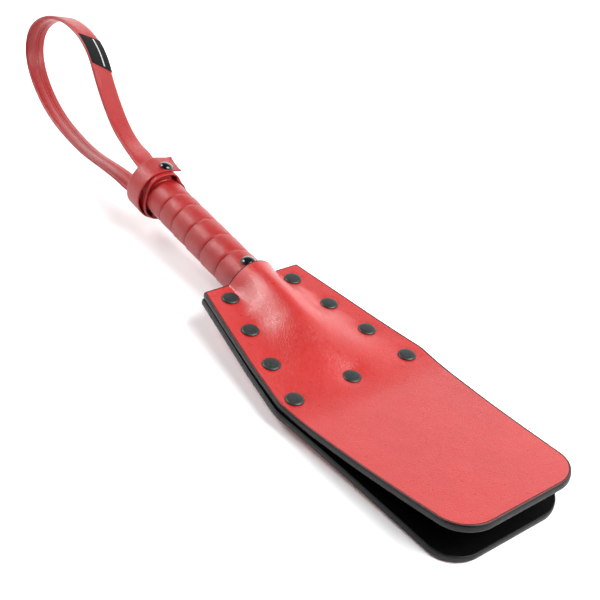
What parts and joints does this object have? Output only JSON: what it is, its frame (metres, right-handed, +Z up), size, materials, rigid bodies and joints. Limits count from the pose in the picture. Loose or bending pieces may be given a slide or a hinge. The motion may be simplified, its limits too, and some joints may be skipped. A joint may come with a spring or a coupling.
{
  "type": "two-leaf slapper paddle",
  "caption": "Short leather paddle: two flexible leaves riveted round a wrapped straight handle, with a leather collar and a wrist loop at the handle's end.",
  "frame": {"origin": "middle of the paddle's footprint, on the surface that it lies on", "axes": "+X along the paddle from the wrist loop towards the leaves' tip, +Y across it, +Z up"},
  "size_m": [0.4996, 0.097, 0.0955],
  "materials": {
    "red_leather": "satin",
    "black_leather": "matt",
    "black_satin_metal": "satin black",
    "black_gloss_metal": "gloss black",
    "steel": "plain",
    "turned_wood": "plain",
    "black_fabric": "woven"
  },
  "bodies": {
    "paddle": {"handle_rod": "turned_wood", "grip_wrap": "red_leather", "wrap_nail_dome": "black_gloss_metal", "wrap_nail_shank": "steel", "upper_neck_core": "black_leather", "upper_neck_face": "red_leather", "lower_neck_core": "black_leather", "lower_neck_face": "red_leather", "neck_rivet_posts": "steel", "neck_rivet_caps_top": "black_satin_metal", "neck_rivet_caps_bottom": "black_satin_metal", "collar_inner_turn": "red_leather", "collar_outer_turn": "red_leather", "collar_snap_dome": "black_gloss_metal", "collar_snap_shank": "steel", "strap_tail_top": "red_leather", "strap_tail_bottom": "red_leather"},
    "upper_leaf": {"upper_blade_core": "black_leather", "upper_blade_face": "red_leather"},
    "lower_leaf": {"lower_blade_core": "black_leather", "lower_blade_face": "red_leather"},
    "wrist_loop": {"wrist_loop_inner_ply": "red_leather", "wrist_loop_outer_ply": "red_leather", "woven_label": "black_fabric"}
  },
  "joints": [
    {"name": "upper_leaf_flex", "type": "hinge", "parent": "paddle", "child": "upper_leaf", "pos_m": [0.14599, 0, 0.01214], "axis": [0, 1, 0], "range_deg": [-18, 6], "stiffness_Nm_per_rad": 5},
    {"name": "lower_leaf_flex", "type": "hinge", "parent": "paddle", "child": "lower_leaf", "pos_m": [0.14547, 0, 0.00707], "axis": [0, -1, 0], "range_deg": [-12, 1.5], "stiffness_Nm_per_rad": 5},
    {"name": "wrist_loop_swing", "type": "hinge", "parent": "paddle", "child": "wrist_loop", "pos_m": [-0.08871, 0, 0.03099], "axis": [-0.0229, 0.974, -0.2255], "range_deg": [-25, 25], "stiffness_Nm_per_rad": 0.6}
  ]
}
